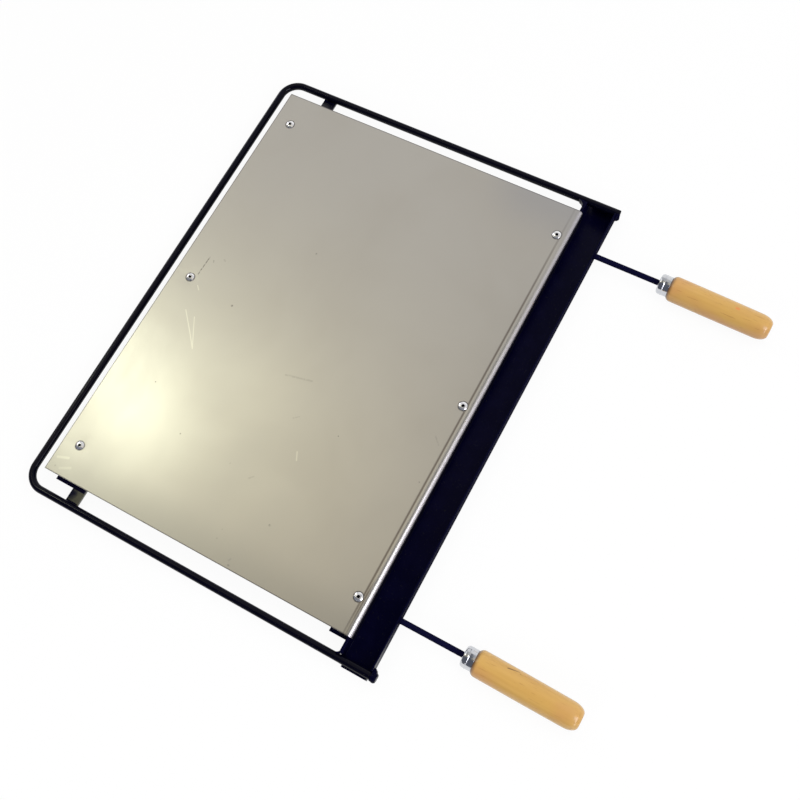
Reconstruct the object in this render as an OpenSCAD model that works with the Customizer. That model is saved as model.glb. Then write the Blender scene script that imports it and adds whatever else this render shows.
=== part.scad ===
// Griddle plate with grease tray, bent rod frame and two wooden handles.
// Units are millimetres. +X runs along the long side, +Y points to the back, +Z up.
// The origin is the centre of the footprint, on the plane the tray and grips rest on.

/* [Frame rod] */
// Width of the bent frame over the outside of its two legs
frame_w = 550; // [480:1:620]
// Diameter of the bent frame rod
rod_d = 8; // [6:0.5:10]
// Centre line radius of the two back bends
bend_r = 20; // [14:1:45]
// Distance from the back rod's centre line to the tray's front wall
frame_depth = 412.8; // [360:0.1:460]
// Length of each leg past the tray's front wall
leg_over = 3; // [2:0.5:7]

/* [Plate] */
// Clear gap between each leg of the frame and the plate's side edge
side_gap = 17; // [12:0.5:24]
// Thickness of the plate
plate_t = 1.5; // [1:0.25:2]
// Height of the cooking face above the rest plane
plate_top = 25; // [24:0.25:27]
// Distance from the back rod's centre line to the plate's back edge
plate_back = 17.5; // [16:0.5:24]
// Clear gap between the plate's front lip and the tray's rear wall
lip_gap = 1; // [0.5:0.25:5]
// Outside radius of the plate's front bend
plate_bend_r = 5; // [3:0.5:5.5]
// Height of the lower edge of the plate's front lip
plate_lip_z = 9; // [5:0.5:12]

/* [Tray] */
// Depth of the tray outside, from the rear wall to the front wall
tray_d = 34.5; // [28:0.5:42]
// Height of the tray's rim
tray_h = 18; // [16.5:0.25:19]
// Sheet thickness of the tray
tray_t = 1.5; // [1:0.25:1.5]
// Outside radius of the tray's two lower bends
tray_bend_r = 3; // [2:0.25:3.5]
// Length of the lip folded back from the rear wall's top
tray_lip = 3.2; // [2:0.2:6]
// Thickness of each tray end plate
end_t = 2; // [1:0.25:3]
// Height of the tray end plates' top edge
end_top = 10; // [8:0.5:11]
// Distance from the tray's front wall back to the end plates
end_front = 2.8; // [1:0.2:6]
// Distance from the tray's rear wall forward to the end plates
end_back = 4.7; // [1:0.1:7]

/* [Supports] */
// Height of the strap's underside above the rest plane
strap_z = 5; // [4:0.25:5.5]
// Sheet thickness of the rails
rail_t = 2; // [1.5:0.25:2.5]
// Distance of the rails' ends inside the plate's side edges
rail_inset = 1.5; // [0:0.5:20]
// Distance of the rails' lower flanges past the plate's side edges
foot_proud = 3.5; // [0:0.5:5]
// Width of the rails' top flange
rail_top_d = 20; // [17:0.5:22]
// Width of the rear rail's lower flange
rear_foot_d = 36; // [30:0.5:38]
// Distance from the plate's back edge forward to the rear rail
rear_rail_in = 9.5; // [3:0.5:12]
// Width of the flat strap below the rear rail
strap_d = 15; // [12:0.5:18]
// Thickness of the strap
strap_t = 3; // [2:0.5:3]

/* [Handles] */
// Diameter of the handle rods
handle_rod_d = 6; // [5:0.5:7]
// Distance from each leg's centre line to the handle's centre line
handle_inset = 57.5; // [50:0.5:90]
// Height of the handle rods' centre line
handle_z = 13.5; // [13:0.25:14.5]
// Bare length of the left handle rod, tray wall to ferrule
bare_left = 67.5; // [50:0.5:80]
// Bare length of the right handle rod, tray wall to ferrule
bare_right = 72.5; // [50:0.5:80]
// Depth of the rod inside the grip
tang = 78; // [50:1:90]
// Outside diameter of the ferrules
ferrule_d = 21.5; // [18:0.5:22]
// Length of the ferrules
ferrule_l = 12; // [8:0.5:13]
// Wall thickness of the ferrules
ferrule_t = 0.8; // [0.6:0.1:1]
// Length of each wooden grip past its ferrule
grip_l = 107.5; // [100:0.5:120]
// Largest diameter of the grips, near the ferrule
grip_d = 27; // [25:0.5:27]
// Diameter of the grips near the free end
grip_end_d = 26; // [24:0.5:27]
// Radius of the grips' shoulder behind the ferrule
grip_shoulder_r = 6; // [4:0.5:8]
// Diameter of the flat at the grips' free end
grip_flat_d = 13; // [8:0.5:16]
// Length of the rounded part at the grips' free end
grip_round_l = 13; // [8:0.5:20]
// Lean of the grips' wood to the left of their bores, in degrees
grip_lean = 1.05; // [-1.5:0.05:1.5]

/* [Rivets] */
// Distance of the outer rivets from the plate's side edges
rivet_side = 36.5; // [20:0.5:60]
// Distance from the rear rail's back forward to the rear rivets
rivet_back = 10.5; // [7:0.5:13]
// Distance from the front rail's front back to the front rivets
rivet_front = 7.4; // [6.6:0.1:13]
// Diameter of the rivet heads
rivet_head_d = 9.6; // [8:0.2:11]
// Height of the rivet heads
rivet_head_h = 1.5; // [1:0.1:1.8]
// Diameter of the rivet bodies
rivet_d = 4.8; // [4:0.1:5]
// Diameter of the mandrel left in each rivet
mandrel_d = 2.7; // [2:0.1:3]

/* [Fits] */
// Radial clearance of rivets, rods and ferrules in their holes
fit_gap = 0.05; // [0.02:0.01:0.1]
// Clearance of the tray's walls around the frame rod
cope_gap = 0.1; // [0.05:0.05:0.3]
// Clearance of the weld beads around the frame rod
weld_gap = 0.25; // [0.2:0.05:0.3]

/* [Welds] */
// Radius of the upright beads between the rod's ends and the tray's front wall
weld_r = 4.5; // [3:0.25:5]
// Radius of the hollow of the left weld behind the tray
fillet_left = 4; // [3:0.5:9]
// Radius of the hollow of the right weld behind the tray
fillet_right = 8; // [3:0.5:9]
// Thickness of the weld that covers the left leg's end
cap_t = 3; // [1:0.25:4]
// Thickness of that weld round the rod
cap_side = 1; // [0.5:0.25:2]

/* [Hidden] */
$fn = 96;
rod_r = rod_d / 2;
leg_x = frame_w / 2 - rod_r;
plate_w = frame_w - 2 * (rod_d + side_gap);
rail_w = plate_w - 2 * rail_inset;
rail_foot_w = plate_w + 2 * foot_proud;
handle_span = 2 * (leg_x - handle_inset);
rivet_span = plate_w - 2 * rivet_side;
rod_z = rod_r + strap_t + strap_z;
handle_out = max(bare_left, bare_right) + ferrule_l + grip_l;
back_y = (rod_r + frame_depth + handle_out) / 2 - rod_r;
wall_y = back_y - frame_depth;
plate_y1 = back_y - plate_back;
plate_z = plate_top - plate_t;
tray_y1 = wall_y + tray_d;
plate_y0 = tray_y1 - tray_t - lip_gap - plate_t;
tray_x = frame_w / 2;
rail_z = strap_z + strap_t;
rail_h = plate_z - rail_z;
rear_y = plate_y1 - rear_rail_in;
front_y = tray_y1 + tray_lip - tray_t;
rivet_rear_y = rear_y - rivet_back;
rivet_front_y = front_y + rivet_front;
strap_y1 = rear_y - rear_foot_d + strap_d;
strap_end = 2.5;
hole_r = rivet_d / 2 + fit_gap;
bead_rise = 1;
nose_deep = 3.5;
bulb_out = 0.8;
bulb_h = 3.6;
bulb_slope = 1;
pin_low = 2;
pin_top = 0.2;
cut_over = 1;

// Block with its low corner and its high corner
module block(low, high) {
    translate(low) cube(high - low);
}

// Section drawn in Y and Z, drawn out along X to both sides
module along_x(width) {
    translate([-width / 2, 0, 0])
        rotate([90, 0, 90])
            linear_extrude(width) children();
}

// Quarter ring round the origin, from the +X side to the +Y side
module quarter_ring(outer, thickness) {
    intersection() {
        difference() {
            circle(outer);
            circle(outer - thickness);
        }
        square(outer);
    }
}

// Row of three upright holes
module rivet_holes(y, low, high) {
    for (side = [-1, 0, 1])
        translate([side * rivet_span / 2, y, low])
            cylinder(h = high - low, r = hole_r);
}

// Stainless sheet with its front edge bent down into the tray
module griddle_plate() {
    color([0.72, 0.71, 0.68])
    difference() {
        along_x(plate_w) {
            translate([plate_y0 + plate_bend_r, plate_z])
                square([plate_y1 - plate_y0 - plate_bend_r, plate_t]);
            translate([plate_y0 + plate_bend_r, plate_top - plate_bend_r])
                mirror([1, 0]) quarter_ring(plate_bend_r, plate_t);
            translate([plate_y0, plate_lip_z])
                square([plate_t, plate_top - plate_bend_r - plate_lip_z]);
        }
        rivet_holes(rivet_rear_y, plate_z - cut_over, plate_top + cut_over);
        rivet_holes(rivet_front_y, plate_z - cut_over, plate_top + cut_over);
    }
}

// One straight leg of the frame rod
module leg(side) {
    translate([side * leg_x, back_y - bend_r, rod_z])
        rotate([90, 0, 0])
            cylinder(h = frame_depth + leg_over - bend_r, r = rod_r);
}

// Round rod bent into a U round the back and both ends
module frame_rod() {
    color([0.06, 0.06, 0.08]) {
        leg(-1);
        leg(1);
        translate([-leg_x + bend_r, back_y, rod_z])
            rotate([0, 90, 0])
                cylinder(h = 2 * (leg_x - bend_r), r = rod_r);
        translate([leg_x - bend_r, back_y - bend_r, rod_z])
            rotate_extrude(angle = 90)
                translate([bend_r, 0]) circle(rod_r);
        translate([-leg_x + bend_r, back_y - bend_r, rod_z])
            rotate([0, 0, 90])
                rotate_extrude(angle = 90)
                    translate([bend_r, 0]) circle(rod_r);
    }
}

// Section of the folded tray
module tray_section() {
    floor_y = wall_y + tray_bend_r;
    translate([floor_y, 0])
        square([tray_d - 2 * tray_bend_r, tray_t]);
    translate([wall_y, tray_bend_r])
        square([tray_t, tray_h - tray_bend_r]);
    translate([tray_y1 - tray_t, tray_bend_r])
        square([tray_t, tray_h - tray_bend_r]);
    translate([tray_y1 - tray_t, tray_h - tray_t])
        square([tray_lip, tray_t]);
    translate([floor_y, tray_bend_r])
        rotate(180) quarter_ring(tray_bend_r, tray_t);
    translate([tray_y1 - tray_bend_r, tray_bend_r])
        rotate(270) quarter_ring(tray_bend_r, tray_t);
}

// Room that one leg of the frame rod takes in the tray's walls
module leg_notch() {
    inner = leg_x - rod_r - cope_gap;
    y0 = wall_y - cut_over;
    x1 = tray_x + cut_over;
    top = tray_h + cut_over;
    y1 = tray_y1 + tray_lip;
    translate([leg_x, y1, rod_z])
        rotate([90, 0, 0])
            cylinder(h = y1 - y0, r = rod_r + cope_gap);
    block([inner, y0, rod_z], [x1, y1, top]);
    block([leg_x, y0, end_top], [x1, y1, top]);
}

// Folded trough that catches the fat, notched over the frame rod's legs
module grease_tray() {
    color([0.05, 0.05, 0.07])
    difference() {
        along_x(2 * tray_x) tray_section();
        leg_notch();
        mirror([1, 0, 0]) leg_notch();
    }
}

// Small plate that closes one end of the tray below the rod, against the floor's edge
module tray_end() {
    block([tray_x, wall_y + end_front, 0], [tray_x + end_t, tray_y1 - end_back, end_top]);
}

// Folded rail, web at Y = 0 and flanges towards -Y, under the plate
module rail(foot_d) {
    translate([-rail_w / 2, -rail_t, rail_z]) cube([rail_w, rail_t, rail_h]);
    translate([-rail_w / 2, -rail_top_d, plate_z - rail_t]) cube([rail_w, rail_top_d, rail_t]);
    translate([-rail_foot_w / 2, -foot_d, rail_z]) cube([rail_foot_w, foot_d, rail_t]);
}

// Rail under the plate's back edge, open to the front
module rear_rail() {
    color([0.05, 0.05, 0.07])
    difference() {
        translate([0, rear_y, 0]) rail(rear_foot_d);
        rivet_holes(rivet_rear_y, plate_z - rail_t - cut_over, plate_z + cut_over);
    }
}

// Rail behind the tray, open to the back
module front_rail() {
    color([0.05, 0.05, 0.07])
    difference() {
        translate([0, front_y, 0]) mirror([0, 1, 0]) rail(rail_top_d);
        rivet_holes(rivet_front_y, plate_z - rail_t - cut_over, plate_z + cut_over);
    }
}

// Flat strap from leg to leg, below the rod and the rear rail
module rear_strap() {
    x = leg_x + strap_end;
    color([0.07, 0.07, 0.08])
    block([-x, strap_y1 - strap_d, rail_z - strap_t], [x, strap_y1, rail_z]);
}

// Straight rod from the tray's front wall into the grip
module handle_rod(side, bare) {
    color([0.05, 0.05, 0.08])
    translate([side * handle_span / 2, wall_y, handle_z])
        rotate([90, 0, 0])
            cylinder(h = bare + ferrule_l + tang, r = handle_rod_d / 2);
}

// Points on part of an ellipse in the profile plane, with the half widths rx and ry
function bow(cx, cy, rx, ry, from, to, n = 8) =
    [for (i = [0 : n]) let (a = from + (to - from) * i / n) [cx + rx * cos(a), cy + ry * sin(a)]];

// Points on part of a circle in the profile plane
function arc(cx, cy, r, from, to, n = 8) = bow(cx, cy, r, r, from, to, n);

// Domed metal cup on the grip's nose
module ferrule(side, bare) {
    r = ferrule_d / 2;
    lip = nose_deep;
    bore = handle_rod_d / 2 + fit_gap;
    inner = r - ferrule_t;
    color([0.75, 0.76, 0.78])
    translate([side * handle_span / 2, wall_y - bare, handle_z])
        rotate([90, 0, 0])
            rotate_extrude()
                polygon(concat([[bore, ferrule_t], [bore, 0]],
                    arc(r - lip, lip, lip, -90, 0),
                    [[r, ferrule_l], [inner, ferrule_l]],
                    arc(r - lip, lip, lip - ferrule_t, 0, -90)));
}

// Body of a wooden grip, turned, from just behind the ferrule's open end to the free end
module grip_body(back, top) {
    seat = 0.2;
    r0 = grip_d / 2;
    r1 = grip_end_d / 2;
    flat_r = grip_flat_d / 2;
    start_r = ferrule_d / 2 - seat;
    rise = acos((start_r - r0 + grip_shoulder_r) / grip_shoulder_r);
    rotate_extrude()
        polygon(concat([[0, back], [start_r, back]],
            arc(r0 - grip_shoulder_r, grip_shoulder_r * sin(rise), grip_shoulder_r, -rise, 0, 8),
            bow(flat_r, top - grip_round_l, r1 - flat_r, grip_round_l, 0, 90, 10),
            [[0, top]]));
}

// Wooden grip: a nose for the ferrule and a blind hole for the rod, and a body that leans a little
module grip(side, bare) {
    nose_r = ferrule_d / 2 - ferrule_t - fit_gap;
    nose_edge = 1;
    bore = handle_rod_d / 2 + fit_gap;
    deep = ferrule_l + tang + cut_over;
    body_in = ferrule_l + cut_over;
    color([0.80, 0.62, 0.34])
    translate([side * handle_span / 2, wall_y - bare, handle_z])
        rotate([90, 0, 0])
            difference() {
                union() {
                    rotate_extrude()
                        polygon([[0, nose_deep], [nose_r - nose_edge, nose_deep],
                            [nose_r, nose_deep + nose_edge], [nose_r, body_in], [0, body_in]]);
                    difference() {
                        translate([0, 0, ferrule_l])
                            rotate([0, -grip_lean, 0])
                                grip_body(-cut_over, grip_l);
                        block([-grip_d, -grip_d, 0], [grip_d, grip_d, ferrule_l]);
                    }
                }
                cylinder(h = deep, r = bore);
            }
}

// Body of a blind rivet: domed head, body and the bulb set below the rail
module rivet(x, y) {
    r = rivet_d / 2;
    head_r = rivet_head_d / 2;
    bore = mandrel_d / 2 + fit_gap;
    dome_r = (head_r * head_r + rivet_head_h * rivet_head_h) / (2 * rivet_head_h);
    a0 = asin(bore / dome_r);
    a1 = asin(head_r / dome_r);
    bulb_r = r + bulb_out;
    low = plate_z - rail_t;
    bulb_low = low - bulb_h;
    color([0.78, 0.77, 0.74])
    translate([x, y, 0])
        rotate_extrude()
            polygon(concat([[bore, bulb_low], [r, bulb_low], [bulb_r, bulb_low + bulb_slope],
                [bulb_r, low - bulb_slope], [r, low], [r, plate_top], [head_r, plate_top]],
                [for (i = [0 : 6]) let (a = a1 + (a0 - a1) * i / 6)
                    [dome_r * sin(a), plate_top + rivet_head_h - dome_r * (1 - cos(a))]]));
}

// Broken mandrel left inside a blind rivet
module mandrel(x, y) {
    r = mandrel_d / 2;
    knob_r = rivet_d / 2;
    low = plate_z - rail_t - bulb_h;
    color([0.25, 0.25, 0.27])
    translate([x, y, 0])
        rotate_extrude()
            polygon([[0, low - pin_low], [knob_r - bulb_out, low - pin_low],
                [knob_r, low - pin_low / 2], [knob_r, low],
                [r, low], [r, plate_top + pin_top], [0, plate_top + 2 * pin_top]]);
}

// Leg of the frame rod, for cutting the welds to shape
module leg_cut() {
    translate([leg_x, back_y, rod_z])
        rotate([90, 0, 0])
            cylinder(h = frame_depth + 2 * leg_over, r = rod_r + weld_gap);
}

// Piece made for the right side, mirrored where it belongs to the left
module on_side(side) {
    color([0.05, 0.05, 0.06])
    mirror([side < 0 ? 1 : 0, 0, 0]) children();
}

// Bead between the strap's top face and the rod's inner side
module weld_strap() {
    bead_r = 2.6;
    bead_end = 1;
    x = leg_x - rod_r + bead_rise;
    difference() {
        translate([x, strap_y1 - bead_end, rail_z])
            rotate([90, 0, 0])
                cylinder(h = strap_d - 2 * bead_end, r = bead_r);
        leg_cut();
        block([x - rod_d, strap_y1 - strap_d, strap_z], [x + rod_d, strap_y1, rail_z]);
    }
}

// Hollow weld in the corner of the rod's inner side and the tray's rear lip
module weld_rear(hollow) {
    x = leg_x - rod_r;
    y = front_y;
    low = rod_z - rod_r + bead_rise;
    high = tray_h - tray_t / 2;
    reach = 0.85 * hollow;
    difference() {
        block([x - reach, y, low], [x + bead_rise, y + reach, high]);
        translate([x - hollow, y + hollow, low - cut_over])
            cylinder(h = high - low + 2 * cut_over, r = hollow);
        leg_cut();
    }
}

// Upright bead between the rod's inner side and the outside of the tray's front wall
module weld_front() {
    x = leg_x - rod_r;
    low = rod_z - rod_r + bead_rise;
    difference() {
        translate([x, wall_y, low])
            cylinder(h = rod_d - bead_rise, r = weld_r);
        leg_cut();
        block([x - rod_d, wall_y, 0], [x + rod_d, tray_y1, tray_h]);
    }
}

// Weld that covers the rod's end, with the upright bead beside it
module weld_cap() {
    r = rod_r + weld_gap;
    outer = r + cap_side;
    end = leg_over + weld_gap;
    weld_front();
    translate([leg_x, wall_y, rod_z])
        rotate([90, 0, 0])
            rotate_extrude()
                polygon([[r, 0], [r + cap_side / 2, 0], [outer, leg_over], [outer, end + cap_t / 2],
                    [outer - cap_side, end + cap_t], [0, end + cap_t], [0, end], [r, end]]);
}

// Ring of weld round the root of a handle rod
module weld_handle() {
    ring = 1.4;
    throat = 0.6 * ring;
    r = handle_rod_d / 2;
    translate([handle_span / 2, wall_y, handle_z])
        rotate([90, 0, 0])
            rotate_extrude()
                polygon([[r, 0], [r + ring, 0], [r + throat, throat], [r, ring]]);
}

griddle_plate();
frame_rod();
grease_tray();
on_side(-1) tray_end();  // tray_end_left
on_side(1) tray_end();  // tray_end_right
rear_rail();
rear_strap();
front_rail();
handle_rod(-1, bare_left);  // handle_rod_left
handle_rod(1, bare_right);  // handle_rod_right
ferrule(-1, bare_left);  // ferrule_left
ferrule(1, bare_right);  // ferrule_right
grip(-1, bare_left);  // grip_left
grip(1, bare_right);  // grip_right
rivet(-rivet_span / 2, rivet_rear_y);  // rivet_back_left
rivet(0, rivet_rear_y);  // rivet_back_mid
rivet(rivet_span / 2, rivet_rear_y);  // rivet_back_right
rivet(-rivet_span / 2, rivet_front_y);  // rivet_front_left
rivet(0, rivet_front_y);  // rivet_front_mid
rivet(rivet_span / 2, rivet_front_y);  // rivet_front_right
mandrel(-rivet_span / 2, rivet_rear_y);  // mandrel_back_left
mandrel(0, rivet_rear_y);  // mandrel_back_mid
mandrel(rivet_span / 2, rivet_rear_y);  // mandrel_back_right
mandrel(-rivet_span / 2, rivet_front_y);  // mandrel_front_left
mandrel(0, rivet_front_y);  // mandrel_front_mid
mandrel(rivet_span / 2, rivet_front_y);  // mandrel_front_right
on_side(-1) weld_strap();  // weld_strap_left
on_side(1) weld_strap();  // weld_strap_right
on_side(-1) weld_rear(fillet_left);  // weld_rear_left
on_side(1) weld_rear(fillet_right);  // weld_rear_right
on_side(-1) weld_cap();  // weld_front_left
on_side(1) weld_front();  // weld_front_right
on_side(-1) weld_handle();  // weld_handle_left
on_side(1) weld_handle();  // weld_handle_right
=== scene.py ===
# %% [markdown]
# A griddle plate, dressed for its portrait.
#
# The real thing is a sheet of stainless steel riveted to a bent black rod, with a folded trough for the fat and
# two turned wooden handles. Its exact solids come packed as a fixed frame. This script lays the looks over them:
# finer surfaces where the eye rests, and a finish for every piece.
#
# Every length is in metres. +X runs along the long side, +Y to the back, +Z up, and Z = 0 is the table.

# %% Frame
import math

import bmesh
import bpy
import numpy as np
from mathutils import Matrix, Vector


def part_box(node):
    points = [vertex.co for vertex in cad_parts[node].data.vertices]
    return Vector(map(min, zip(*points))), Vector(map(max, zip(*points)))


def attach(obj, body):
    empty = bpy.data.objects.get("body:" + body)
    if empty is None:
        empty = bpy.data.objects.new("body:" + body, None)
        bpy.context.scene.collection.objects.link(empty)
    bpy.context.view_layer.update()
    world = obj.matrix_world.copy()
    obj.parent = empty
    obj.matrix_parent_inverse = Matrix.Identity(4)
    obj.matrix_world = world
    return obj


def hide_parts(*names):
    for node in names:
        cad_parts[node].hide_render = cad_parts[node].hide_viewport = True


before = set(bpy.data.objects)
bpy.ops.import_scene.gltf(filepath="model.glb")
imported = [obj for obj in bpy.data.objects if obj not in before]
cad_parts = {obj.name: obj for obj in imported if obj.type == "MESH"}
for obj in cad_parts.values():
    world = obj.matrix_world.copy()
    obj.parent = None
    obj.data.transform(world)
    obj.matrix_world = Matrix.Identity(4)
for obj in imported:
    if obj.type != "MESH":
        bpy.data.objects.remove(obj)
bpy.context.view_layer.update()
render_levels = 1
mm = 0.001
print("CAD nodes:", len(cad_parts))

# %% [markdown]
# The camera comes first, because everything else is judged through it. A camera can be aimed at a target, or
# placed by its three axes. The axes are used here: they follow from the sheet's four corners and the lines of
# the rods in the photo, and they leave no roll to guess.

# %% Camera
photo_pixels = 800
focal_pixels = 1013.1
sensor_width = 36.0
camera_place = Vector((-0.2817, -0.2669, 0.9766))
camera_right = Vector((0.4776, -0.8721, -0.1062))
camera_down = Vector((-0.8410, -0.4188, -0.3426))
camera_ahead = Vector((0.2543, 0.2529, -0.9335))


def make_camera():
    """Camera whose X axis is the picture's right, whose Y is its up, and which looks along -Z."""
    data = bpy.data.cameras.new("camera")
    data.sensor_width = sensor_width
    data.lens = focal_pixels / photo_pixels * sensor_width
    data.clip_start = 0.01
    data.clip_end = 30
    camera = bpy.data.objects.new("camera", data)
    bpy.context.scene.collection.objects.link(camera)
    turn = Matrix((camera_right, -camera_down, -camera_ahead)).transposed()
    camera.matrix_world = Matrix.Translation(camera_place) @ turn.to_4x4()
    bpy.context.scene.camera = camera
    return camera


camera = make_camera()
print("lens", round(camera.data.lens, 2), "mm")

# %% [markdown]
# Finishes are written as arithmetic. Every node could be made and linked by hand, but the sums then drown in
# the plumbing. So one small class wraps a node's output, and its signs add Math nodes; a second one holds the
# node tree and makes any other node from its type, its settings and its inputs.

# %% Arithmetic on sockets
class Wire:
    """One output of a node, ready for sums with numbers and other wires."""

    def __init__(self, finish, socket):
        self.finish = finish
        self.socket = socket

    def join(self, operation, *values):
        return self.finish.add("ShaderNodeMath", {"operation": operation}, dict(enumerate(values)))

    def __add__(self, other):
        return self.join("ADD", self, other)

    def __sub__(self, other):
        return self.join("SUBTRACT", self, other)

    def __rsub__(self, other):
        return self.join("SUBTRACT", other, self)

    def __mul__(self, other):
        return self.join("MULTIPLY", self, other)

    def __truediv__(self, other):
        return self.join("DIVIDE", self, other)

    def power(self, other):
        return self.join("POWER", self, other)

    def larger(self, other):
        return self.join("MAXIMUM", self, other)

    def smaller(self, other):
        return self.join("MINIMUM", self, other)

    __radd__ = __add__
    __rmul__ = __mul__


# %% Node trees
class Finish:
    """A node tree, with one method that makes any node and a few words for the usual ones."""

    def __init__(self, owner):
        owner.use_nodes = True
        self.owner = owner
        self.tree = owner.node_tree
        self.links = self.tree.links

    def add(self, kind, settings=None, inputs=None, output=0):
        """Node of a type, its settings first, then its sockets: a wire is linked and a value is written."""
        node = self.tree.nodes.new(kind)
        for name, value in (settings or {}).items():
            if name == "stops":
                ramp = node.color_ramp
                for i, (place, colour) in enumerate(value):
                    stop = ramp.elements[i] if i < 2 else ramp.elements.new(place)
                    stop.position = place
                    stop.color = (*colour, 1)
            else:
                setattr(node, name, value)
        for name, value in (inputs or {}).items():
            self.feed(node.inputs[name], value)
        return Wire(self, node.outputs[output])

    def feed(self, socket, value):
        if isinstance(value, Wire):
            self.links.new(value.socket, socket)
        elif hasattr(value, "__len__") and socket.type == "RGBA":
            socket.default_value = (*value, 1)
        else:
            socket.default_value = value

    def node(self, name):
        return self.tree.nodes[name]

    def place(self, stretch=(1, 1, 1), move=(0, 0, 0)):
        """Object coordinates, moved and then stretched, so that a pattern sits fixed on its piece."""
        spot = self.add("ShaderNodeTexCoord", output="Object")
        return self.add("ShaderNodeMapping", inputs={"Vector": spot, "Location": move, "Scale": stretch})

    def noise(self, place, scale, detail=2.0, roughness=0.5, distortion=0.0):
        return self.add("ShaderNodeTexNoise", None, {"Vector": place, "Scale": scale, "Detail": detail,
                                                     "Roughness": roughness, "Distortion": distortion})

    def spread(self, value, low, high, to_low=0.0, to_high=1.0):
        """Value between low and high, carried smoothly to the range to_low to to_high."""
        return self.add("ShaderNodeMapRange", {"interpolation_type": "SMOOTHSTEP"},
                        {"Value": value, "From Min": low, "From Max": high, "To Min": to_low, "To Max": to_high})

    def near_line(self, spot, start, end, inner, outer):
        """1 within the inner distance of a line and 0 beyond the outer one: the point's share along the line, kept
        from 0 to 1, gives the nearest point of the line, and the distance to it gives the mask."""
        start, end = Vector(start), Vector(end)
        along = end - start
        off = self.add("ShaderNodeVectorMath", {"operation": "SUBTRACT"}, {0: spot, 1: tuple(start)})
        if along.length > 0:
            share = self.add("ShaderNodeVectorMath", {"operation": "DOT_PRODUCT"},
                             {0: off, 1: tuple(along / along.length_squared)}, output="Value")
            share = self.add("ShaderNodeClamp", None, {"Value": share})
            near = self.add("ShaderNodeVectorMath", {"operation": "SCALE"}, {0: tuple(along), "Scale": share})
            off = self.add("ShaderNodeVectorMath", {"operation": "SUBTRACT"}, {0: off, 1: near})
        far = self.add("ShaderNodeVectorMath", {"operation": "LENGTH"}, {0: off}, output="Value")
        return self.spread(far, inner, outer, 1, 0)

    def mix(self, first, second, share):
        """Colour that goes from the first to the second as share goes from 0 to 1."""
        return self.add("ShaderNodeMix", {"data_type": "RGBA"}, {0: share, 6: first, 7: second}, output=2)

    def bump(self, height, depth, under=None):
        """Normals of a relief whose height 1 stands that many metres proud."""
        inputs = {"Height": height, "Distance": depth, "Strength": 1.0}
        if under is not None:
            inputs["Normal"] = under
        return self.add("ShaderNodeBump", None, inputs)


def new_finish(name, **sockets):
    """Material whose Principled shader starts from these plain values."""
    finish = Finish(bpy.data.materials.new(name))
    shade(finish, **sockets)
    return finish


def shade(finish, **sockets):
    """Feeds sockets of the Principled shader. A word's underscores stand for spaces."""
    shader = finish.node("Principled BSDF")
    for name, value in sockets.items():
        finish.feed(shader.inputs[name.replace("_", " ")], value)


# %% [markdown]
# The stage is a white table under a studio ceiling. The photo has a cut-out white ground, so the table glows
# white by itself to the camera and in reflections, and keeps a little real shading, which holds the shadow.
#
# A steel sheet shows its surroundings more than itself. In the photo it is an even grey with a warm glow at the
# back left, and the round ferrules show the rest of the room: grey on the far side, dark on the near side, with a
# long white window behind. A picture of a studio could be wrapped round the scene; here the room is a few sums on
# the direction, and the glow is a warm lamp placed where the sheet mirrors it.

# %% Table
def stage_piece(name, points, faces):
    mesh = bpy.data.meshes.new(name)
    mesh.from_pydata(points, [], faces)
    piece = bpy.data.objects.new(name, mesh)
    bpy.context.scene.collection.objects.link(piece)
    return piece


reach, table_z = 6.0, -0.0002
table = stage_piece("table", [(-reach, -reach, table_z), (reach, -reach, table_z), (reach, reach, table_z),
                              (-reach, reach, table_z)], [(0, 1, 2, 3)])
table_glow = 0.93
table_bounce = 0.5
table_white = 0.95
white = new_finish("table_white", Roughness=0.9, Specular_IOR_Level=0.1)
ray = white.tree.nodes.new("ShaderNodeLightPath")
seen = Wire(white, ray.outputs["Is Camera Ray"]).larger(Wire(white, ray.outputs["Is Glossy Ray"]))
seen = seen.larger(Wire(white, ray.outputs["Is Transmission Ray"]))
shade(white, Base_Color=white.mix([table_bounce] * 3, [table_white] * 3, seen))
glow = white.add("ShaderNodeEmission", None, {"Color": (1, 1, 1), "Strength": 1.0})
body = Wire(white, white.node("Principled BSDF").outputs[0])
both = white.add("ShaderNodeMixShader", None, {0: seen * table_glow, 1: body, 2: glow})
white.feed(white.node("Material Output").inputs["Surface"], both)
table.data.materials.append(white.owner)

# %% Ceiling
ceiling_warm = 0.72
ceiling_cool = 0.61
wall_level = 0.95
room_dark = 0.15
window_light = (5.0, 5.0, 5.3)
warm_side = (1.0, 0.90, 0.69)
cool_side = (1.0, 0.992, 0.99)
dark_side = (0.80, 0.86, 1.05)
window_lines = [((0.45, 0.85, 0.27), (0.08, 0.86, 0.50)), ((-0.05, -0.757, 0.652), (-0.42, -0.752, 0.51)),
                ((-0.42, -0.752, 0.51), (-0.605, -0.72, 0.345)), ((-0.605, -0.72, 0.345), (-0.75, -0.655, 0.06))]
bpy.context.scene.world = bpy.data.worlds.new("studio")
studio = Finish(bpy.context.scene.world)
way = studio.add("ShaderNodeTexCoord", output="Generated")
across = studio.add("ShaderNodeSeparateXYZ", None, {0: way}, output="X")
ceiling = studio.spread(across, 0.0, 0.45, ceiling_warm, ceiling_cool)
ceiling = ceiling + studio.spread(across, 0.68, 0.82, 0, wall_level - ceiling_cool)
level = room_dark + studio.spread(across, -0.20, 0.02) * (ceiling - room_dark)
window = studio.near_line(way, *window_lines[0], 0.03, 0.09)
for start, end in window_lines[1:]:
    window = window.larger(studio.near_line(way, start, end, 0.04, 0.10))
tint = studio.mix(warm_side, cool_side, studio.spread(across, 0.0, 0.45))
tint = studio.mix(dark_side, tint, studio.spread(across, -0.25, 0.0))
light = studio.add("ShaderNodeVectorMath", {"operation": "SCALE"}, {0: tint, "Scale": level})
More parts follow.
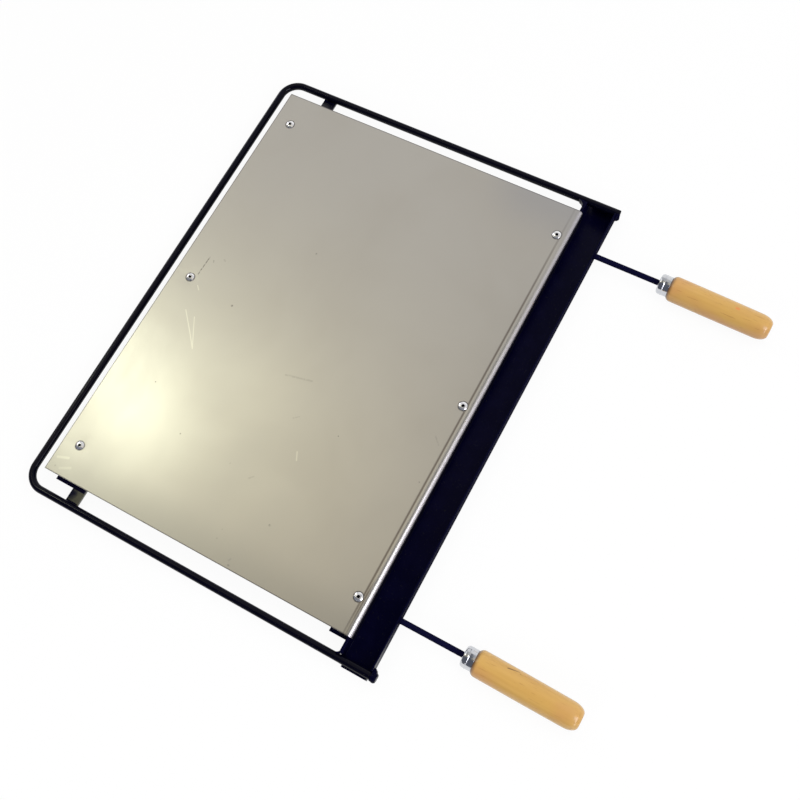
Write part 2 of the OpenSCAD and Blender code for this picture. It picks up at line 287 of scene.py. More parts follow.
room = studio.mix(light, window_light, window)
to_camera = studio.add("ShaderNodeLightPath", output="Is Camera Ray")
studio.feed(studio.node("Background").inputs["Color"], studio.mix(room, (1, 1, 1), to_camera))
print("windows:", window_lines)

# %% Black card
card_z, card_x, card_y = 0.594, (-0.35, 0.396), (-0.30, -0.075)
corners = [(card_x[0], card_y[0], card_z), (card_x[1], card_y[0], card_z), (card_x[1], card_y[1], card_z),
           (card_x[0], card_y[1], card_z)]
card = stage_piece("black_card", corners, [(0, 1, 2, 3)])
dim = new_finish("card_black", Base_Color=(0, 0, 0), Emission_Color=dark_side, Emission_Strength=room_dark)
card.data.materials.append(dim.owner)
for rays in ("camera", "diffuse", "transmission", "volume_scatter", "shadow"):
    setattr(card, "visible_" + rays, False)


# %% Lamps
def soft_lamp(name, place, target, size, watts, colour=(1, 1, 1), mirrored=True):
    """Round soft lamp at a place, turned to a target. One that isn't mirrored only fills the shadows."""
    data = bpy.data.lights.new(name, "AREA")
    data.shape = "DISK"
    data.size = size
    data.energy = watts
    data.color = colour
    lamp = bpy.data.objects.new(name, data)
    lamp.location = place
    lamp.rotation_euler = (Vector(target) - Vector(place)).to_track_quat("-Z", "Y").to_euler()
    lamp.visible_glossy = mirrored
    bpy.context.scene.collection.objects.link(lamp)
    return lamp


soft_lamp("front_softbox", (-0.4, -1.8, 1.55), (0, 0, 0), 1.25, 17.5, (0.86, 0.88, 1.0))
soft_lamp("side_softbox", (-1.9, 0.6, 1.3), (0, 0, 0), 1.2, 14, mirrored=False)
soft_lamp("top_softbox", (0.9, -0.5, 1.9), (0, 0, 0), 1.4, 9, mirrored=False)
soft_lamp("warm_glow", (0.105, 1.364, 1.93), (-0.1, 0.2, 0), 0.22, 2.3, (0.94, 1.0, 0.79))
soft_lamp("warm_haze", (0.233, 0.879, 1.93), (-0.1, 0.1, 0), 0.45, 0.33, (1.0, 0.97, 0.60))
bpy.context.scene.view_settings.view_transform = "Standard"

# %% [markdown]
# The steel sheet has a rolled satin finish. Its grain runs along the long side and is too fine to see, so it
# only softens the reflections; wiping and old fat leave broad, faint clouds in the gloss. An image texture
# would hold all that, but procedural noise stays sharp at any distance. The few scratches and specks have their
# own places, each one a soft line between two points.

# %% Steel sheet
def line_mask(finish, spot, start, end, width):
    """Mask of a mark on the sheet, its ends and its width in millimetres."""
    start, end = Vector((*start, 0)) * mm, Vector((*end, 0)) * mm
    return finish.near_line(spot, start, end, 0.3 * width * mm, width * mm)


rivet_names = [f"{row}_{side}" for row in ("back", "front") for side in ("left", "mid", "right")]
rivet_spots = [sum(np.array(corner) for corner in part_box("rivet_" + name)) / 2 for name in rivet_names]


def nearest_rivet(finish, spot):
    """Distance to the nearest rivet's axis, in metres, for a spot whose height is 0."""
    far = [finish.add("ShaderNodeVectorMath", {"operation": "DISTANCE"}, {0: spot, 1: (x, y, 0)}, output="Value")
           for x, y, _ in rivet_spots]
    nearest = far[0]
    for other in far[1:]:
        nearest = nearest.smaller(other)
    return nearest


bright_marks = [((-35, 246), (-56, 227), 0.9), ((-56, 227), (-70, 215), 0.8), ((-38, 233), (-70, 215), 0.7),
                ((-5, 250), (-9, 246), 0.9), ((-234, 277), (-230, 266), 2.0), ((-243, 268), (-238, 258), 2.0),
                ((-117, 57), (-125, 53), 1.0)]
dark_marks = [((7, 257), (30, 256), 0.9), ((26, 249), (28, 250), 0.8), ((-9, 203), (-9, 203), 1.7),
              ((83, 152), (84, 152), 1.0), ((-119, 230), (-119, 230), 1.0), ((-155, 175), (-155, 175), 1.2),
              ((-194, 43), (-194, 43), 1.6), ((-229, 83), (-229, 83), 1.2), ((-242, 61), (-240, 60), 1.2),
              ((-246.5, 58.8), (-246.5, 58.8), 1.8), ((-84, 28), (-84, 28), 0.9), ((-89, -67), (-89, -67), 1.0),
              ((-243, 274), (-243, 274), 1.2)]
smudges = [((-51, 110), (-45, 82), 1.5), ((33, 238), (34, 240), 1.2), ((-158, 112), (-158, 112), 1.2),
           ((-219, 83), (-219, 83), 1.0), ((-163, 87), (-159, 83), 1.2), ((-88, 79), (-84, 74), 0.9),
           ((-40, -59), (-47, -66), 1.0)]
steel_light = (0.63, 0.608, 0.565)
steel_dull = (0.60, 0.575, 0.53)
steel = new_finish("rolled_steel", Metallic=1.0)
plain_spot = steel.place()
clouds = steel.noise(plain_spot, 7.0, 3.0, 0.55, 0.4)
wiping = steel.noise(steel.place((6, 26, 26)), 1.0, 3.0, 0.6)
grain = steel.noise(steel.place((60, 2600, 2600)), 1.0, 2.0, 0.6)
map_spot = steel.place((1, 1, 0))
bright = line_mask(steel, map_spot, *bright_marks[0])
for mark in bright_marks[1:]:
    bright = bright.larger(line_mask(steel, map_spot, *mark))
faint = line_mask(steel, map_spot, *dark_marks[0])
for mark in dark_marks[1:]:
    faint = faint.larger(line_mask(steel, map_spot, *mark))
for mark in smudges:
    faint = faint.larger(line_mask(steel, map_spot, *mark) * 0.25)
tone = steel.mix(steel_light, steel_dull, steel.spread(clouds, 0.35, 0.7))
tone = steel.mix(tone, (0.98, 0.97, 0.86), bright * 0.38)
worn = steel.spread(steel.noise(map_spot, 320.0, 1.0, 0.5), 0.40, 0.55, 0.25, 0.8)
tone = steel.mix(tone, (0.20, 0.18, 0.16), faint * worn)
# Painted shade: dark lines along the crease, with a second line near the left end.
crease_shade = line_mask(steel, map_spot, (-252, -72.8), (252, -72.8), 1.6)
along = steel.add("ShaderNodeSeparateXYZ", None, {0: map_spot}, output="X")
crease_shade = crease_shade * steel.spread(along, 0.10, 0.25, 0.8, 0.3)
corner_crease_shade = line_mask(steel, map_spot, (-252, -74.9), (-185, -74.9), 1.2)
corner_crease_shade = corner_crease_shade * steel.spread(along, -0.21, -0.185, 0.85, 0)
tone = steel.mix(tone, (0.20, 0.17, 0.15), crease_shade.larger(corner_crease_shade))
# Painted shade: the sheet darker near its far front corner.
far_corner_shade = steel.near_line(map_spot, (0.262, -0.09, 0), (0.262, -0.03, 0), 0.01, 0.075)
tone = steel.mix(tone, (0.47, 0.468, 0.49), far_corner_shade * 0.6)
# Painted shade: the sheet darker towards its near (-X) end.
tone = steel.mix(tone, (0.50, 0.487, 0.455), steel.spread(along, -0.25, -0.205, 0.62, 0))
rivet_far = nearest_rivet(steel, map_spot)
low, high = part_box("griddle_plate")
depth = steel.add("ShaderNodeSeparateXYZ", None, {0: map_spot}, output="Y")
edge_far = (along - low[0]).smaller(high[0] - along).smaller(high[1] - depth)
tone = steel.mix(tone, (0.16, 0.15, 0.16), steel.spread(edge_far, 0.5 * mm, 1.3 * mm, 0.8, 0))
# Painted contact shadow: a dark ring round each rivet head, its strength varied by the worn noise.
ring = steel.spread(rivet_far, 4.5 * mm, 4.9 * mm) * steel.spread(rivet_far, 5.0 * mm, 6.0 * mm, 1, 0)
tone = steel.mix(tone, (0.07, 0.065, 0.075), ring * steel.spread(worn, 0.25, 0.8, 0.45, 0.8))
gloss = 0.325 + (clouds - 0.5) * 0.09 + (wiping - 0.5) * 0.07 + (grain - 0.5) * 0.08
height = steel.add("ShaderNodeSeparateXYZ", None, {0: plain_spot}, output="Z")
# Painted reflection: the lip's lower face darkened to blue-black, like the dark tray it mirrors.
lip = steel.spread(height, high[2] - 7.0 * mm, high[2] - 1.8 * mm, 1, 0)
# Painted highlight colour: the bend tinted cool, so that its highlight looks lilac.
bend_highlight_tint = steel.spread(depth, -0.0800, -0.0770, 0.8, 0)
tone = steel.mix(steel.mix(tone, (0.62, 0.60, 0.66), bend_highlight_tint), (0.11, 0.10, 0.18), lip * 0.9)
bent = steel.spread(depth, -0.0805, -0.0765, 0.10, 0) - lip * 0.2
relief = steel.bump(grain, 0.000004)
relief = steel.bump(clouds, 0.00008, relief)
shade(steel, Base_Color=tone, Roughness=gloss + faint * 0.1 + bent, Normal=relief)
print("steel marks:", len(bright_marks) + len(dark_marks) + len(smudges))

# %% [markdown]
# All the black metal is dipped or sprayed with one gloss paint, black with a breath of navy. Real paint is never
# flat: it has orange peel, thicker and thinner places and dust. The same tree makes the welds' paint, with a
# coarser relief.

# %% Black paint
def black_finish(name, peel, shine=0.05, sheen_lift=0.0, navy=0.014, rough=0.26):
    """Black gloss paint: peel is the depth of its relief, shine its mirror and sheen_lift a grey veil of painted sheen,
    strongest on the -X side. What stands in front of the tray's wall is dull, but for the near corner."""
    paint = new_finish(name, Specular_IOR_Level=shine)
    spot = paint.place()
    flow = paint.noise(spot, 55.0, 2.0, 0.5)
    skin = paint.noise(spot, 900.0, 2.0, 0.5)
    dust = paint.noise(spot, 1500.0, 1.0, 0.5)
    tone = paint.mix((0.0008, 0.0007, 0.86 * navy), (0.0016, 0.0014, 1.14 * navy), paint.spread(flow, 0.35, 0.7))
    across, deep = (paint.add("ShaderNodeSeparateXYZ", None, {0: spot}, output=axis) for axis in "XY")
    # Painted sheen: a grey veil, strong on the -X side and faint towards +X. The specks mixed in with it are dust.
    painted_sheen = paint.spread(flow, 0.3, 0.7) * paint.spread(across, -0.1, 0.1, sheen_lift, sheen_lift * 0.05)
    tone = paint.mix(tone, (0.075, 0.075, 0.048), paint.spread(dust, 0.74, 0.80) + painted_sheen)
    worn = paint.spread(deep, wall_front + 0.5 * mm, wall_front + 1.5 * mm, 1, 0) * paint.spread(across, -0.27, -0.2)
    gloss = rough + (flow - 0.5) * 0.12 + (dust - 0.5) * 0.1 + worn * 0.6
    shade(paint, Base_Color=tone, Roughness=gloss, Normal=paint.bump(skin, peel))
    return paint


wall_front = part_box("grease_tray")[0][1]
paint = black_finish("black_paint", 0.00002)
rod_paint = black_finish("rod_paint", 0.00001, 0.13, navy=0.006, rough=0.14)
handle_paint = black_finish("handle_paint", 0.00002, 0.10, navy=0.020)
weld_paint = black_finish("weld_paint", 0.00012)
# The strap's last number is the strength of its grey veil of painted sheen.
strap_paint = black_finish("strap_paint", 0.00003, 0.5, 3.2)

# %% [markdown]
# The ferrules are zinc plated caps, the rivets bright aluminium and the pins inside them broken steel, coloured
# near black as painted shade in the bore. Small bright parts live on what they mirror, so their colour stays plain
# and the gloss is what varies. The rivets get painted shade as well, in the bore and along the rim of the head.

# %% Bright metals
def metal_finish(name, light, dull, gloss, scale, depth, metallic=1.0):
    metal = new_finish(name, Metallic=metallic)
    spot = metal.place()
    patches = metal.noise(spot, scale, 3.0, 0.6)
    fine = metal.noise(spot, scale * 9, 2.0, 0.5)
    tone = metal.mix(light, dull, metal.spread(patches, 0.35, 0.7))
    shade(metal, Base_Color=tone, Roughness=gloss + (patches - 0.5) * 0.12 + (fine - 0.5) * 0.08,
          Normal=metal.bump(fine, depth))
    return metal, tone


zinc, _ = metal_finish("zinc_plate", (0.67, 0.68, 0.70), (0.57, 0.59, 0.63), 0.14, 220.0, 0.00002)
aluminium, tone = metal_finish("rivet_aluminium", (0.95, 0.95, 0.96), (0.84, 0.84, 0.86), 0.24, 500.0, 0.00001, 0.9)
rivet_far = nearest_rivet(aluminium, aluminium.place((1, 1, 0)))
# Painted shade: the mouth of the bore and the rim of each head darkened.
bore_shade = aluminium.spread(rivet_far, 1.5 * mm, 1.9 * mm, 1, 0)
rim_shade = aluminium.spread(rivet_far, 4.2 * mm, 4.7 * mm, 0, 0.85)
shade(aluminium, Base_Color=aluminium.mix(tone, (0.012, 0.012, 0.016), bore_shade.larger(rim_shade)))
# Painted shade: the pins are coloured near black, for the shade down in the bore.
pin_steel, _ = metal_finish("mandrel_steel", (0.006, 0.006, 0.008), (0.002, 0.002, 0.003), 0.6, 900.0, 0.00005)

# %% [markdown]
# The grips are turned beech under amber varnish. Beech shows long pale bands and thousands of short dark flecks,
# all along the stick. Bands and flecks are the same noise, stretched along the handle by different amounts. The
# varnish is the shader's coat, so the wood below can stay rough.

# %% Varnished beech
beech_pale = (0.67, 0.396, 0.107)
beech_deep = (0.60, 0.340, 0.083)
wood = new_finish("varnished_beech", Coat_Weight=0.6, Coat_Roughness=0.12, Specular_IOR_Level=0.3)
bands = wood.noise(wood.place((150, 9, 150)), 1.0, 3.0, 0.6, 0.3)
rays = wood.noise(wood.place((900, 70, 900)), 1.0, 2.0, 0.5)
broad = wood.noise(wood.place((28, 14, 28)), 1.0, 2.0, 0.5)
tone = wood.mix(beech_pale, beech_deep, wood.spread(bands, 0.32, 0.72) * 0.7)
tone = wood.mix(tone, (0.61, 0.295, 0.11), wood.spread(broad, 0.46, 0.70) * 0.7)
flecks = wood.spread(rays, 0.62, 0.74)
tone = wood.mix(tone, (0.40, 0.17, 0.04), flecks * 0.45)
grip_spot = wood.place()
cracks = [((-205.6, -221.7, 24.1), (-203.5, -232.7, 22.2), 0.5), ((-205.2, -233.5, 23.0), (-206.0, -237.0, 23.4), 0.35)]
for start, end, width in cracks:
    crack = wood.near_line(grip_spot, Vector(start) * mm, Vector(end) * mm, 0.3 * width * mm, 1.6 * width * mm)
    tone = wood.mix(tone, (0.05, 0.012, 0.01), crack * 0.9)
# Painted shade: a dark ring on the wood where it meets each ferrule.
for side in ("left", "right"):
    low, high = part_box("ferrule_" + side)
    seam = ((low[0] + high[0]) / 2, low[1], (low[2] + high[2]) / 2)
    tone = wood.mix(tone, (0.10, 0.045, 0.02), wood.near_line(grip_spot, seam, seam, 11.2 * mm, 14.2 * mm) * 0.85)
knot = wood.near_line(grip_spot, Vector((214.0, -266.0, 26.7)) * mm, Vector((214.0, -268.0, 26.7)) * mm, 0.0005, 0.002)
tone = wood.mix(tone, (0.75, 0.22, 0.06), knot * 0.7)
relief = wood.bump(rays, 0.00003)
shade(wood, Base_Color=tone, Roughness=0.42 + (bands - 0.5) * 0.2, Normal=wood.bump(bands, 0.00008, relief))
print("finishes:", [m.name for m in bpy.data.materials if m.use_nodes][-7:])

# %% [markdown]
# Every new piece is a surface worked out with numpy, in millimetres, and handed to the mesh in one go. Modelling
# by hand would do for one plate, but a formula keeps each piece exactly where its solid is, because its place is
# read from the solid's own box.

# %% Meshes from arrays
def grid_faces(rows, columns, close_rows=False, close_columns=False):
    """Quads of a grid of points stored row by row: each point, its neighbour, and the same two one row on."""
    r = np.arange(rows if close_rows else rows - 1)[:, None]
    c = np.arange(columns if close_columns else columns - 1)[None, :]
    r, c = np.broadcast_arrays(r, c)
    r2, c2 = (r + 1) % rows, (c + 1) % columns
    return np.stack([r * columns + c, r * columns + c2, r2 * columns + c2, r2 * columns + c], -1).reshape(-1, 4)


def tidy_mesh(mesh, closed=True):
    """Merges doubled points and, on a closed shape, turns every face outwards."""
    work = bmesh.new()
    work.from_mesh(mesh)
    bmesh.ops.remove_doubles(work, verts=work.verts, dist=0.001 * mm)
    bmesh.ops.dissolve_degenerate(work, edges=work.edges, dist=0.001 * mm)
    if closed:
        bmesh.ops.recalc_face_normals(work, faces=work.faces)
    work.to_mesh(mesh)
    work.free()
    mesh.shade_smooth()


def new_piece(name, points, faces, finish, slot, nodes, closed=True):
    """Smooth piece with these points in millimetres. It rides on the part and stands for the named solids."""
    mesh = bpy.data.meshes.new(name)
    mesh.from_pydata((np.asarray(points, float).reshape(-1, 3) * mm).tolist(), [], np.asarray(faces).tolist())
    tidy_mesh(mesh, closed)
    return dress(name, mesh, finish, nodes)


def dress(name, mesh, finish, nodes):
    """Object for a mesh, with its finish, its body and the solids it stands for."""
    mesh.materials.clear()
    mesh.materials.append(finish.owner)
    piece = bpy.data.objects.new(name, mesh)
    bpy.context.scene.collection.objects.link(piece)
    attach(piece, "root")
    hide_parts(*nodes)
    print(name, len(mesh.polygons), "faces")
    return piece


def box(node):
    """Lowest and highest corner of a solid, in millimetres."""
    low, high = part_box(node)
    return np.array(low) / mm, np.array(high) / mm


def middle(node):
    return sum(box(node)) / 2


def round_edges(piece, width, angle=40):
    """Small round on every edge sharper than the angle."""
    bevel = piece.modifiers.new("round_edges", "BEVEL")
    bevel.width = width * mm
    bevel.segments = 2
    bevel.limit_method = "ANGLE"
    bevel.angle_limit = math.radians(angle)
    bevel.harden_normals = True


print("sheet's box", np.round(box("griddle_plate"), 1).tolist())

# %% [markdown]
# The cooking sheet is the face of the whole thing. It could be a bevelled slab, but a real sheet is pressed down a
# little round each rivet, and a shallow crease runs beside the bend where the brake held it. So it is one grid
# over its own outline, from the lip's lower edge up round the bend and back to the rear. Grid lines gather where
# the shape is fine, a Solidify modifier gives the thickness, and a Bevel takes the sharpness off the cut edges.

# %% Cooking sheet
def gathered(low, high, step, centres, offsets):
    """Even lines from low to high, except that near each centre its own close lines take over."""
    even = np.linspace(low, high, int(round((high - low) / step)) + 1)
    near = np.zeros(len(even), bool)
    for c in centres:
        near |= (even > c + offsets[0] - 1) & (even < c + offsets[-1] + 1)
    near[[0, -1]] = False
    return np.unique(np.concatenate([even[~near]] + [c + offsets for c in centres]))


def sheet_points(low, high, holes, bend, hole, calm, crease):
    """Grid over the sheet's outline. Its rows are the section: straight up the lip, a quarter circle for the bend,
    then flat to the back. Round each rivet the square lines swell into circles: a point's offset is multiplied by
    its larger coordinate over its length, which turns squares into circles, and less so further out."""
    steps = np.array([0, 0.35, 0.69, 1.0])
    ring = np.concatenate([steps * hole, [3.1, calm]])
    ring = np.concatenate([-ring[:0:-1], ring])
    xs = gathered(low[0], high[0], 9.0, sorted({round(h[0], 3) for h in holes}), ring)
    flat_front = low[1] + bend
    front_y = min(h[1] for h in holes)
    back_y = max(h[1] for h in holes)
    near_bend = np.concatenate([crease - front_y + np.array([-1.8, -0.9, -0.45, 0.0]), ring])
    ys = np.unique(np.concatenate([[flat_front], gathered(flat_front + 9, high[1], 9.0, [back_y], ring),
                                   front_y + near_bend]))
    turn = np.radians(np.linspace(180, 90, 9)[:-1])
    lip = np.linspace(low[2], high[2] - bend, 4)[:-1]
    section_y = np.concatenate([np.full(3, low[1]), flat_front + bend * np.cos(turn), ys])
    section_z = np.concatenate([lip, high[2] - bend + bend * np.sin(turn), np.full(len(ys), high[2])])
    x, y = np.meshgrid(xs, section_y)
    z = np.repeat(section_z[:, None], len(xs), 1)
    flat = y >= flat_front
    faces = grid_faces(*x.shape)
    middle_x, middle_y = (a.ravel()[faces].mean(1) for a in (x, y))
    keep = np.ones(len(faces), bool)
    for hx, hy in holes:
        keep &= np.maximum(abs(middle_x - hx), abs(middle_y - hy)) > hole
    dip = np.zeros_like(x)
    for hx, hy in holes:
        dx, dy = x - hx, y - hy
        square = np.maximum(abs(dx), abs(dy))
        far = np.hypot(dx, dy)
        share = np.clip((calm - square) / (calm - hole), 0, 1)
        scale = 1 + share * (square / np.maximum(far, 1e-6) - 1)
        x, y = np.where(flat, hx + dx * scale, x), np.where(flat, hy + dy * scale, y)
        dip += 0.14 * np.exp(-(far / 7.0) ** 2)
    dip += 0.06 * np.exp(-((y - crease) / 0.8) ** 2)
    sway = 0.05 * (1 + np.sin(x / 61 + 1.1) * np.sin(y / 47 + 0.4))
    z = np.where(flat, z - dip + sway * np.clip((y - flat_front) / 60, 0, 1), z)
    return np.stack([x, y, z], -1), faces[keep]


sheet_low, sheet_high = box("griddle_plate")
holes = [spot[:2] / mm for spot in rivet_spots]
sheet_bend = 6.0
rivet_hole = 2.45
crease_line = sheet_low[1] + 9.0
points, faces = sheet_points(sheet_low, sheet_high, holes, sheet_bend, rivet_hole, 3.9, crease_line)
sheet = new_piece("cooking_sheet", points, faces, steel, "stainless_sheet", ["griddle_plate"], closed=False)
wall = sheet.modifiers.new("thickness", "SOLIDIFY")
wall.thickness = 1.5 * mm
wall.offset = -1
wall.use_even_offset = True
round_edges(sheet, 0.22)

# %% [markdown]
# Frame and handles are bent and straight bar. A curve with a bevel would give the same bar; a ring carried along
# rows of place, heading and radius also closes the ends, with the small round that a cut and painted end has.

# %% Round bars
def bar(rows, segments=48):
    """Bar along rows of x, y, z, heading in degrees and radius. Each ring is the row's place plus radius times
    (cos t * side + sin t * up), where side stands square to the heading."""
    x, y, z, heading, radius = np.asarray(rows, float).T
    h = np.radians(heading)
    side = np.stack([-np.sin(h), np.cos(h), np.zeros_like(h)], -1)
    t = np.linspace(0, 2 * np.pi, segments, endpoint=False)
    ring = np.cos(t)[None, :, None] * side[:, None] + np.sin(t)[None, :, None] * np.array([0, 0, 1.0])
    points = np.stack([x, y, z], -1)[:, None] + radius[:, None, None] * ring
    return points, grid_faces(len(rows), segments, close_columns=True)


def cut_end(radius, edge):
    """Distances from a cut end and radii there: the flat, then a quarter circle of the edge's size."""
    a = np.radians([0, 30, 60, 90])
    return [(0, 0)] + list(zip(edge * (1 - np.cos(a)), radius - edge + edge * np.sin(a)))


def frame_rows(half_width, front, back, z, radius, bend, edge):
    """Rows of the U: up the left leg, a quarter circle, along the back, a quarter circle, down the right leg."""
    start = [(-half_width, front + d, z, 90, r) for d, r in cut_end(radius, edge)]
    legs = np.linspace(front + 4, back - bend, 12)
    left = [(-half_width, y, z, 90, radius) for y in legs]
    turns = np.linspace(0, 90, 19)
    first = [(-half_width + bend * (1 - math.cos(math.radians(a))), back - bend + bend * math.sin(math.radians(a)),
              z, 90 - a, radius) for a in turns[1:]]
    half = start + left + first
    other = [(-x, y, z, -h, r) for x, y, z, h, r in half]
    return half + other[::-1]


rod_low, rod_high = box("frame_rod")
rod_r = (rod_high[2] - rod_low[2]) / 2
rod_z = rod_low[2] + rod_r
rows = frame_rows(rod_high[0] - rod_r, rod_low[1], rod_high[1] - rod_r, rod_z, rod_r, 20.0, 0.5)
new_piece("frame_bar", *bar(rows), rod_paint, "black_paint", ["frame_rod"])
for side in ("left", "right"):
    low, high = box("handle_rod_" + side)
    r = (high[2] - low[2]) / 2
    x, _, z = middle("handle_rod_" + side)
    ends = cut_end(r, 0.3)
    rows = [(x, high[1] - d, z, -90, s) for d, s in ends]
    rows += [(x, y, z, -90, r) for y in np.linspace(high[1] - 2, low[1] + 2, 8)]
    rows += [(x, low[1] + d, z, -90, s) for d, s in reversed(ends)]
    new_piece("handle_bar_" + side, *bar(rows, 40), handle_paint, "black_paint", ["handle_rod_" + side])

# %% [markdown]
# Grips, ferrules and rivets are turned or pressed round an axis, so each is a profile spun about it. Blender's Screw
# modifier spins too; here the spinning is one line of numpy, and the profile is written as the turner would read
# it: radius, then distance along the work.

# %% Turned pieces
def turned(profile, centre, along, segments, ring=False):
    """Profile rows of radius and distance, spun: a point at turn t is centre + distance * along
    + radius * (cos t * side + sin t * up). A ring's profile closes on itself."""
    radius, far = np.asarray(profile, float).T
    along = np.asarray(along, float)
    up = np.array([0, 0, 1.0]) if along[2] == 0 else np.array([0, 1.0, 0])
    side = np.cross(up, along)
    t = np.linspace(0, 2 * np.pi, segments, endpoint=False)
    way = np.cos(t)[:, None] * side + np.sin(t)[:, None] * up
    points = np.asarray(centre, float) + far[:, None, None] * along + radius[:, None, None] * way[None]
    return points, grid_faces(len(radius), segments, close_rows=ring, close_columns=True)


def bow(centre, radii, start, end, steps):
    """Profile rows on a part of an ellipse: centre plus the radii times cosine and sine of angles in degrees."""
    a = np.radians(np.linspace(start, end, steps))
    return list(zip(centre[0] + radii[0] * np.cos(a), centre[1] + radii[1] * np.sin(a)))


def ferrule_profile(r, length, wall, bore, nose, bead):
    """Domed cup: a face that swells a little, a quarter circle, a straight wall with a rolled bead round it, and
    the same shape again inside. The bead swells by a squared cosine."""
    inner = r - wall
    face = [(bore, wall), (bore, 0.2), (bore + 0.1, 0.05), (bore + 0.35, 0)]
    face += [(r - nose - 0.4, 0.12)] + bow((r - nose, nose + 0.15), (nose, nose), -80, 0, 10)
    across = np.linspace(-1, 1, 13)
    swell = list(zip(r + 0.35 * np.cos(across * math.pi / 2) ** 2, bead + across))
    rim = [(r, length - 0.3), (r - 0.08, length - 0.08), (r - 0.25, length), (inner + 0.1, length),
           (inner, length - 0.1)]
    return face + swell + rim + bow((r - nose, nose + 0.15), (nose - wall, nose - wall + 0.15), 0, -90, 8)


def grip_profile(length, thick, tail, flat, nose, bore, deep, start_r, shoulder):
    """Turned grip: the nose for the ferrule, a part of a circle for the shoulder, a body that narrows slightly, a
    long elliptical end and the worn edge of its flat; the blind bore for the rod closes it inside."""
    start, tip = nose[1], 13.0
    rise = math.acos((start_r - thick + shoulder) / shoulder)
    crown = start + shoulder * math.sin(rise)
    profile = [(0, deep), (bore, deep), (bore, nose[2]), (nose[0] - 1, nose[2]), (nose[0], nose[2] + 1)]
    profile += [(nose[0], start - 0.1), (nose[0] + 0.1, start)]
    profile += bow((thick - shoulder, crown), (shoulder, shoulder), -math.degrees(rise), 0, 14)
    body = np.linspace(0.08, 1, 12)
    reach = length - tip - crown
    profile += [(thick + (tail - thick) * b + 0.12 * math.sin(math.pi * b), crown + reach * b) for b in body[:-1]]
    profile += bow((flat, length - tip), (tail - flat, tip), 0, 86, 18)
    return profile + [(flat - 0.1, length - 0.03), (flat - 0.8, length), (flat * 0.5, length), (0, length - 0.05)]


grip_lean = math.radians(1.05)
leaning = np.array([-math.sin(grip_lean), -math.cos(grip_lean), 0])
for side in ("left", "right"):
    low, high = box("ferrule_" + side)
    x, _, z = middle("ferrule_" + side)
    front = (x, high[1], z)
    ferrule_l, ferrule_r = high[1] - low[1], (high[0] - low[0]) / 2
    profile = ferrule_profile(ferrule_r, ferrule_l, 0.8, 3.05, 3.0, 5.5)
    points, faces = turned(profile, front, (0, -1, 0), 64, ring=True)
    new_piece("ferrule_cap_" + side, points, faces, zinc, "plated_ferrule", ["ferrule_" + side])
    profile = grip_profile(ferrule_l + 107.5, z - 0.03, 13.0, 6.5, (ferrule_r - 0.85, ferrule_l, 3.5), 3.05,
                           ferrule_l + 79.0, ferrule_r - 0.2, 6.0)
    points, faces = turned(profile, front, (0, -1, 0), 72)
    pivot = np.array(front) - (0, ferrule_l, 0)
    points[7:] = turned(profile, pivot - leaning * ferrule_l, leaning, 72)[0][7:]
    new_piece("wooden_grip_" + side, points, faces, wood, "varnished_wood", ["grip_" + side])

# %% Rivets
def rivet_profile(top, head, height, shank, bore, low):
    """Blind rivet from its bulb below up to the head: a thin upright edge, a dome, and a lip that turns down
    into the bore."""
    bulb = shank + 0.8
    dome = (head * head + height * height) / (2 * height)
    a = np.radians(np.linspace(math.degrees(math.asin(head / dome)), math.degrees(math.asin(1.95 / dome)), 9))
    profile = [(bore, low - 3.6), (shank, low - 3.6), (bulb, low - 2.6), (bulb, low - 1), (shank, low)]
    profile += [(shank, top), (head - 0.1, top - 0.05), (head, top + 0.05)]
    profile += list(zip(dome * np.sin(a), top + height - dome * (1 - np.cos(a))))[1:]
    crest = profile[-1][1]
    return profile + [(1.8, crest + 0.02), (1.62, crest - 0.06), (1.48, crest - 0.3), (bore, crest - 0.75)]


def pin_profile(top, low, r, knob):
    """Broken pin: its knob below, a plain shank, and a torn, slightly hollow end."""
    return [(0, low - 2), (knob - 0.8, low - 2), (knob, low - 1), (knob, low), (r, low), (r, top - 0.35),
            (r - 0.12, top - 0.05), (r - 0.35, top), (r - 0.6, top - 0.22), (0, top - 0.38)]


for name in rivet_names:
    x, y, _ = middle("rivet_" + name)
    head = (box("rivet_" + name)[1] - box("rivet_" + name)[0])[0] / 2
    top, low = sheet_high[2], box("rivet_" + name)[0][2] + 3.6
    points, faces = turned(rivet_profile(top, head, 1.5, 2.4, 1.4, low), (x, y, 0), (0, 0, 1), 48, ring=True)
    new_piece("blind_rivet_" + name, points, faces, aluminium, "rivet_aluminium", ["rivet_" + name])
    pin_top = box("mandrel_" + name)[1][2]
    points, faces = turned(pin_profile(pin_top, low - 3.6, 1.35, 2.4), (x, y, 0), (0, 0, 1), 32)
    new_piece("broken_pin_" + name, points, faces, pin_steel, "mandrel_steel", ["mandrel_" + name])

# %% [markdown]
# Tray, rails, strap and end plates are bent or cut from sheet. Their solids have the right shape already, so they
# are copied, made into clean flat faces, and only their sharp edges are rounded, as paint rounds them.

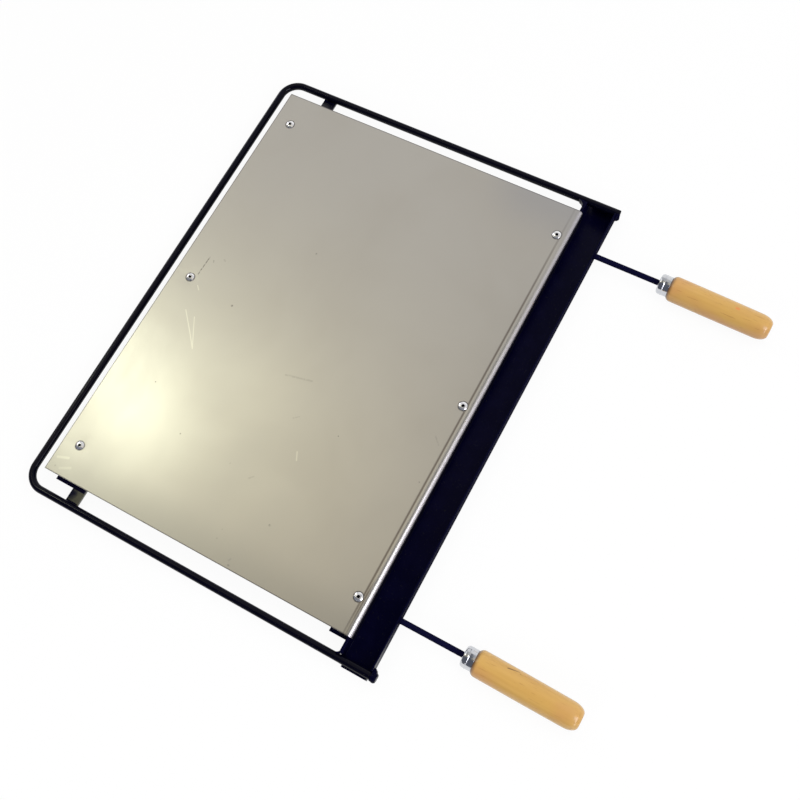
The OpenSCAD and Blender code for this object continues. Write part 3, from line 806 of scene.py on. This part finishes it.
# %% Sheet metal
def clean_copy(node):
    """Copy of a solid's mesh, its loose triangles merged and flat neighbours joined."""
    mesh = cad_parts[node].data.copy()
    work = bmesh.new()
    work.from_mesh(mesh)
    bmesh.ops.remove_doubles(work, verts=work.verts, dist=0.001 * mm)
    bmesh.ops.dissolve_limit(work, angle_limit=math.radians(1), verts=work.verts, edges=work.edges)
    bmesh.ops.recalc_face_normals(work, faces=work.faces)
    work.to_mesh(mesh)
    work.free()
    mesh.shade_smooth()
    return mesh


for node in ("grease_tray", "tray_end_left", "tray_end_right", "rear_rail", "front_rail", "rear_strap"):
    coat = strap_paint if node == "rear_strap" else paint
    piece = dress("painted_" + node, clean_copy(node), coat, [node])
    round_edges(piece, 0.3)

# %% [markdown]
# A weld bead is a row of frozen drops under paint. Its solid gives the place and the bulk. Small even cells are
# needed before it can ripple: a voxel Remesh makes them, and three crossed waves push each point along its normal.

# %% Weld beads
def beaded(node, cell, height):
    """Weld of even cells, its points moved along their normals by height times half a sum of three sine waves of
    different lengths, minus 0.6."""
    base = bpy.data.objects.new("weld_base", clean_copy(node))
    bpy.context.scene.collection.objects.link(base)
    cells = base.modifiers.new("cells", "REMESH")
    cells.mode = "VOXEL"
    cells.voxel_size = cell * mm
    seen = base.evaluated_get(bpy.context.evaluated_depsgraph_get())
    mesh = bpy.data.meshes.new_from_object(seen)
    bpy.data.objects.remove(base)
    count = len(mesh.vertices)
    points, normals = np.empty(count * 3), np.empty(count * 3)
    mesh.vertices.foreach_get("co", points)
    mesh.vertices.foreach_get("normal", normals)
    points, normals = points.reshape(-1, 3), normals.reshape(-1, 3)
    x, y, z = (points / mm).T
    wave = np.sin(1.9 * y + 0.7 * x) + 0.6 * np.sin(1.3 * z + 2.3 * x + 1) + 0.4 * np.sin(3.1 * x - 1.7 * y + 2 * z)
    points += normals * (height * mm * (wave / 2 - 0.6))[:, None]
    mesh.vertices.foreach_set("co", points.ravel())
    mesh.update()
    mesh.shade_smooth()
    return mesh


for spot in ("strap", "rear", "front", "handle"):
    for side in ("left", "right"):
        node = f"weld_{spot}_{side}"
        dress("bead_" + node[5:], beaded(node, 0.35, 0.18), weld_paint, [node])
